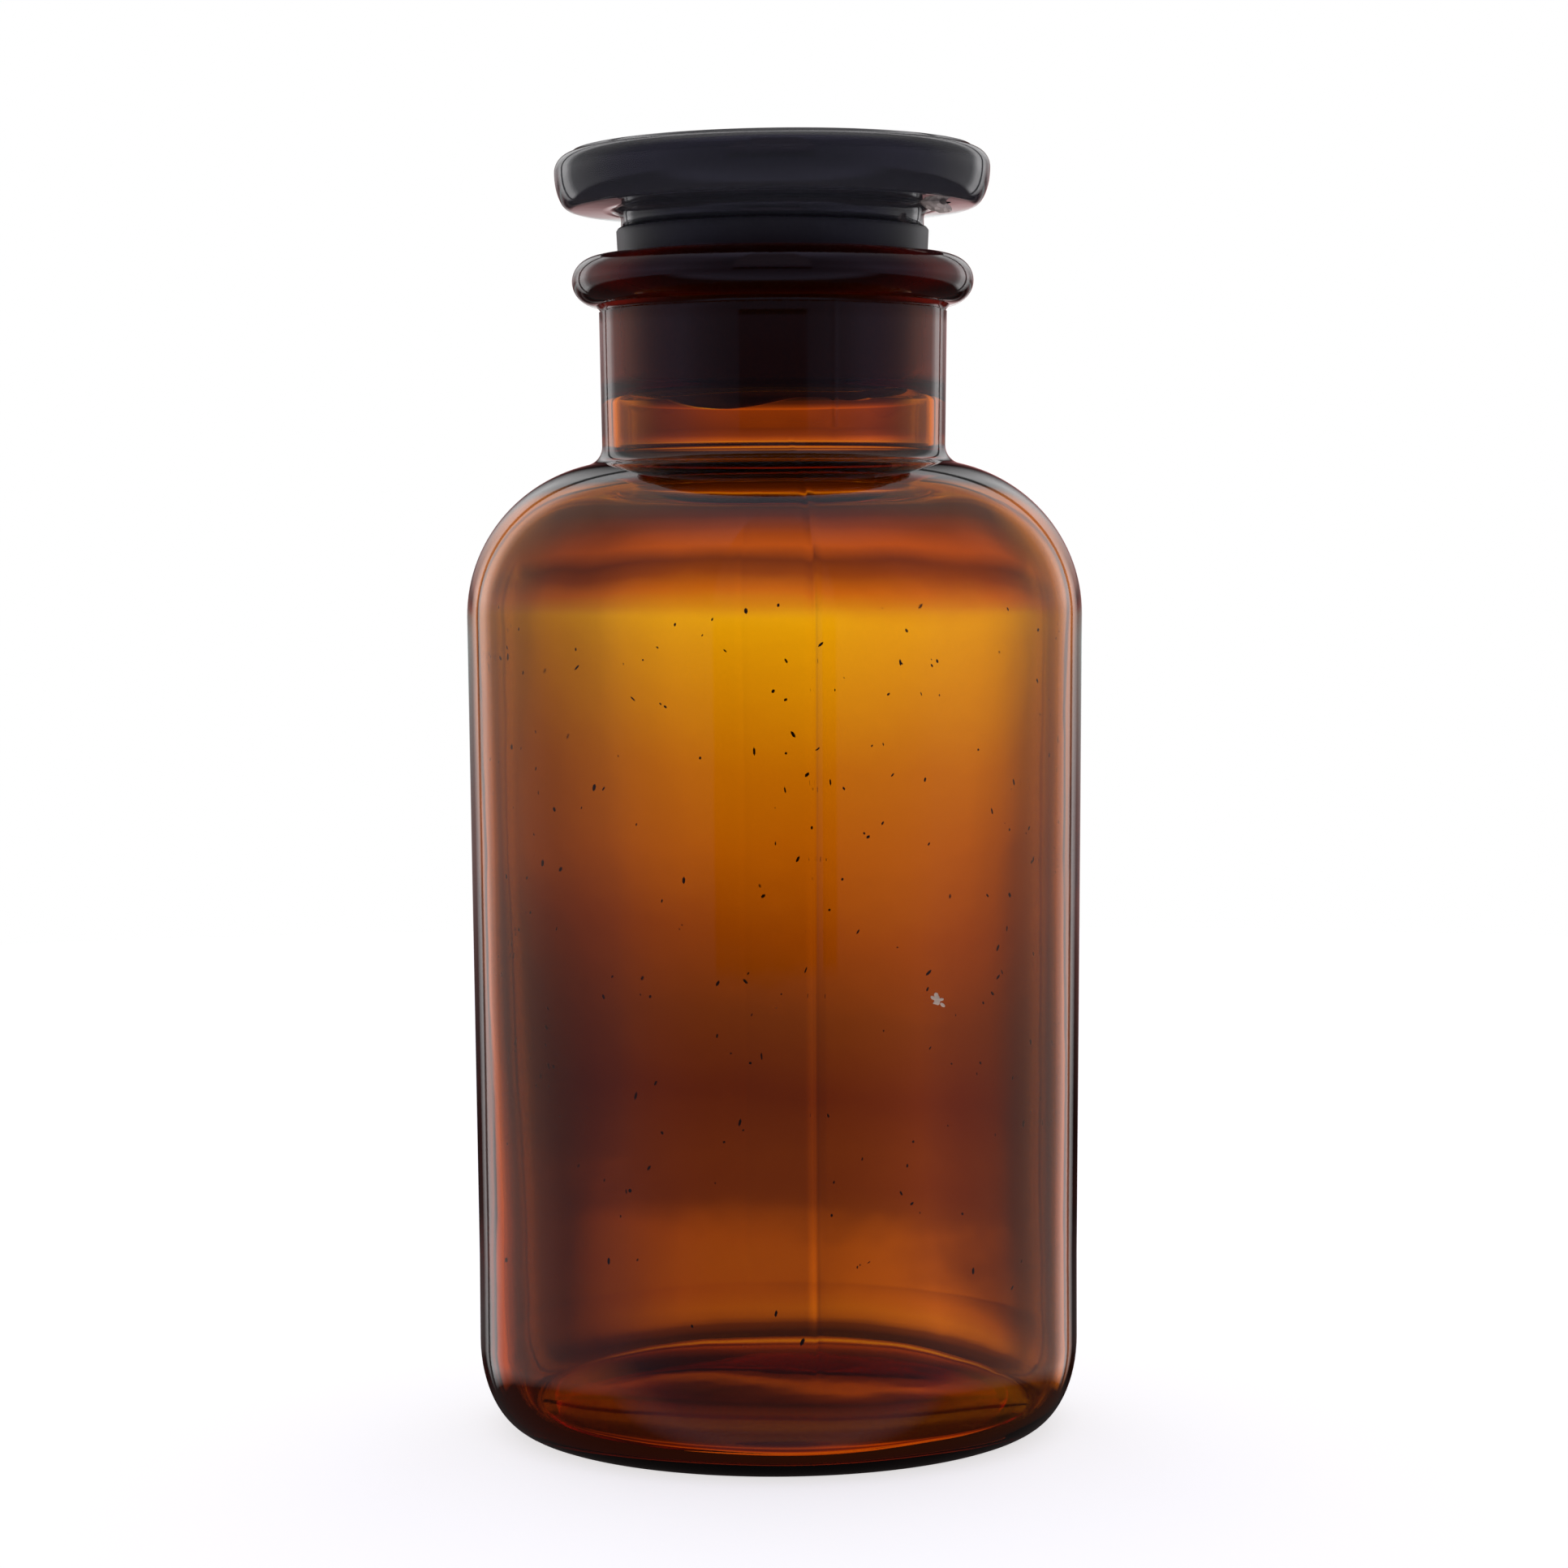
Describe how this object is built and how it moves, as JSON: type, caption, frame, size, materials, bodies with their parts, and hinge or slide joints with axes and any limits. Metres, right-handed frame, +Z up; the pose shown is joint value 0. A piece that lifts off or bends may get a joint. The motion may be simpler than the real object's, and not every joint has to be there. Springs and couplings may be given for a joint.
{
  "type": "wide-mouth reagent bottle",
  "caption": "Wide-mouth laboratory bottle in amber blown glass with rounded shoulder, beaded rim and punted base, closed by a hollow ground-glass stopper with a flat round head.",
  "frame": {"origin": "centre of the bottle's base, on the plane it stands on", "axes": "+Z up along the bottle's axis; the stopper's open end is cut highest towards -Y, which is the front"},
  "size_m": [0.106, 0.106, 0.2203],
  "materials": {
    "amber_glass": "gloss",
    "stopper_glass": "gloss"
  },
  "bodies": {
    "bottle": {"bottle": "amber_glass"},
    "stopper": {"stopper": "stopper_glass"}
  },
  "joints": [
    {"name": "stopper_lift", "type": "slide", "parent": "bottle", "child": "stopper", "axis": [0, 0, 1], "range_m": [0, 0.06]}
  ]
}
